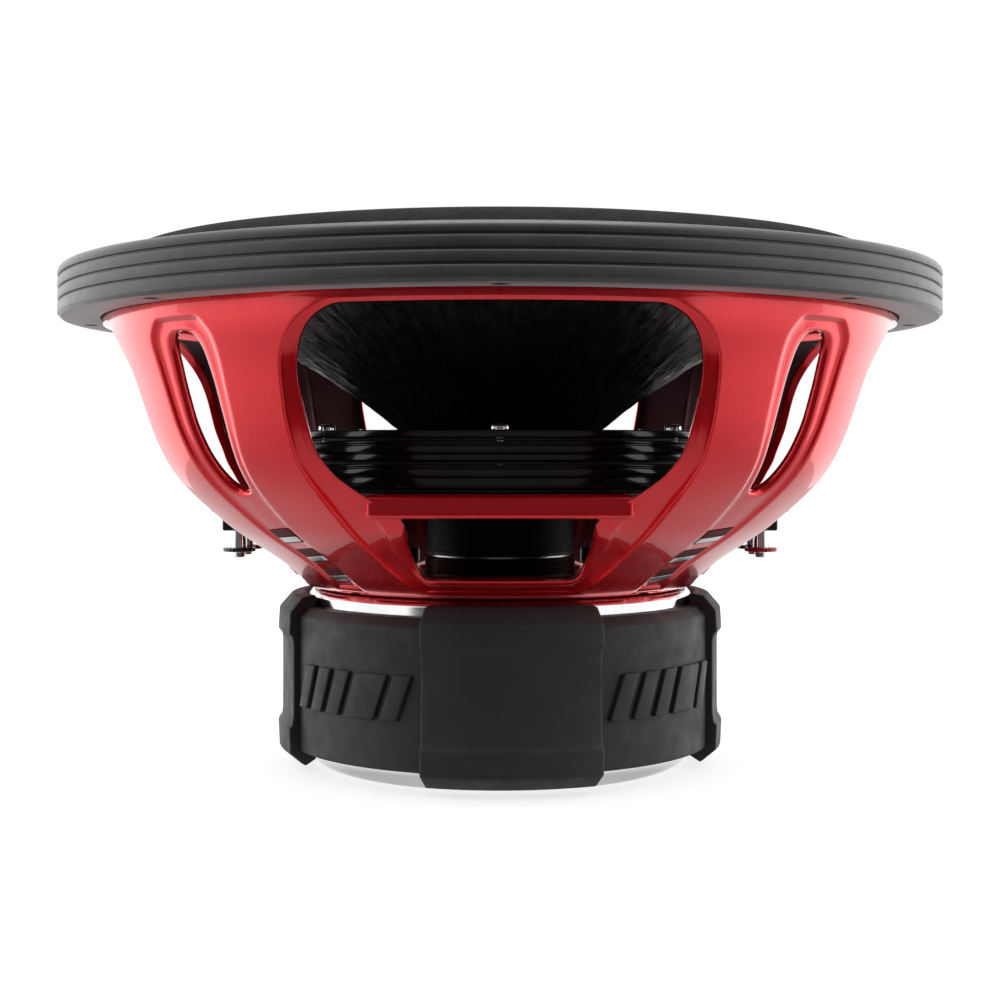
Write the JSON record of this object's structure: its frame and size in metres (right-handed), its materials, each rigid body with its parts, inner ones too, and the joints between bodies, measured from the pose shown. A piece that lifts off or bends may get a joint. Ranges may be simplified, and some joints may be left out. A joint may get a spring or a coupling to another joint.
{
  "type": "car subwoofer speaker",
  "caption": "Car subwoofer driver: cast basket with four windows, rubber-booted double magnet motor, spider stack, paper cone, half-roll surround and push terminals.",
  "frame": {"origin": "on the speaker's axis, at the outer face of the back plate", "axes": "+Z along the axis towards the cone and surround; one basket window faces -Y; the terminals are on the +X and -X sides"},
  "size_m": [0.392, 0.392, 0.2282],
  "materials": {
    "red_paint": "candy red metallic gloss",
    "moulded_rubber": "moulded satin rubber",
    "surround_foam": "fine-grained foam",
    "cone_paper": "coarse non-pressed black paper",
    "gloss_black_plastic": "glossy black",
    "spider_cloth": "resin-treated black cloth",
    "chrome_plate": "bright plating",
    "black_steel": "black oxide",
    "spring_steel": "drawn wire",
    "ferrite": "sintered ferrite",
    "aluminium": "satin",
    "copper_wire": "lacquered winding",
    "black_collar": "resin-soaked wrap",
    "red_plastic": "glossy red"
  },
  "bodies": {
    "basket_and_motor": {"basket": "red_paint", "rim_gasket": "moulded_rubber", "surround": "surround_foam", "spider_lower": "spider_cloth", "spider_middle": "spider_cloth", "spider_upper": "spider_cloth", "spider_spacer_lower": "gloss_black_plastic", "spider_spacer_upper": "gloss_black_plastic", "spider_clamp_ring": "gloss_black_plastic", "spacer_screw_1": "chrome_plate", "spacer_screw_2": "chrome_plate", "spacer_screw_3": "chrome_plate", "spacer_screw_4": "chrome_plate", "spacer_screw_5": "chrome_plate", "spacer_screw_6": "chrome_plate", "spacer_screw_7": "chrome_plate", "spacer_screw_8": "chrome_plate", "basket_screw_1": "black_steel", "basket_screw_2": "black_steel", "basket_screw_3": "black_steel", "basket_screw_4": "black_steel", "top_plate": "chrome_plate", "magnet_upper": "ferrite", "magnet_lower": "ferrite", "shorting_ring": "aluminium", "yoke": "chrome_plate", "magnet_boot": "moulded_rubber", "terminal_block_right": "gloss_black_plastic", "terminal_block_left": "gloss_black_plastic", "terminal_barrel_1": "chrome_plate", "terminal_collar_1": "red_plastic", "terminal_spring_1": "spring_steel", "tinsel_lead_1": "copper_wire", "terminal_barrel_2": "chrome_plate", "terminal_collar_2": "gloss_black_plastic", "terminal_spring_2": "spring_steel", "tinsel_lead_2": "copper_wire", "terminal_barrel_3": "chrome_plate", "terminal_collar_3": "red_plastic", "terminal_spring_3": "spring_steel", "tinsel_lead_3": "copper_wire", "terminal_barrel_4": "chrome_plate", "terminal_collar_4": "gloss_black_plastic", "terminal_spring_4": "spring_steel", "tinsel_lead_4": "copper_wire"},
    "cone_assembly": {"cone": "cone_paper", "dust_cap": "cone_paper", "voice_coil_former": "aluminium", "voice_coil_winding": "copper_wire", "former_collar": "black_collar"},
    "push_cap_1": {"terminal_cap_1": "chrome_plate"},
    "push_cap_2": {"terminal_cap_2": "chrome_plate"},
    "push_cap_3": {"terminal_cap_3": "chrome_plate"},
    "push_cap_4": {"terminal_cap_4": "chrome_plate"}
  },
  "joints": [
    {"name": "cone_travel", "type": "slide", "parent": "basket_and_motor", "child": "cone_assembly", "axis": [0, 0, 1], "range_m": [-0.018, 0.018], "stiffness_N_per_m": 9000, "deforming": ["surround", "spider_lower", "spider_middle", "spider_upper", "tinsel_lead_1", "tinsel_lead_2", "tinsel_lead_3", "tinsel_lead_4"]},
    {"name": "push_cap_1_press", "type": "slide", "parent": "basket_and_motor", "child": "push_cap_1", "axis": [0, 0, 1], "range_m": [0, 0.0025], "stiffness_N_per_m": 1500, "deforming": ["terminal_spring_1"]},
    {"name": "push_cap_2_press", "type": "slide", "parent": "basket_and_motor", "child": "push_cap_2", "axis": [0, 0, 1], "range_m": [0, 0.0025], "stiffness_N_per_m": 1500, "deforming": ["terminal_spring_2"]},
    {"name": "push_cap_3_press", "type": "slide", "parent": "basket_and_motor", "child": "push_cap_3", "axis": [0, 0, 1], "range_m": [0, 0.0025], "stiffness_N_per_m": 1500, "deforming": ["terminal_spring_3"]},
    {"name": "push_cap_4_press", "type": "slide", "parent": "basket_and_motor", "child": "push_cap_4", "axis": [0, 0, 1], "range_m": [0, 0.0025], "stiffness_N_per_m": 1500, "deforming": ["terminal_spring_4"]}
  ]
}
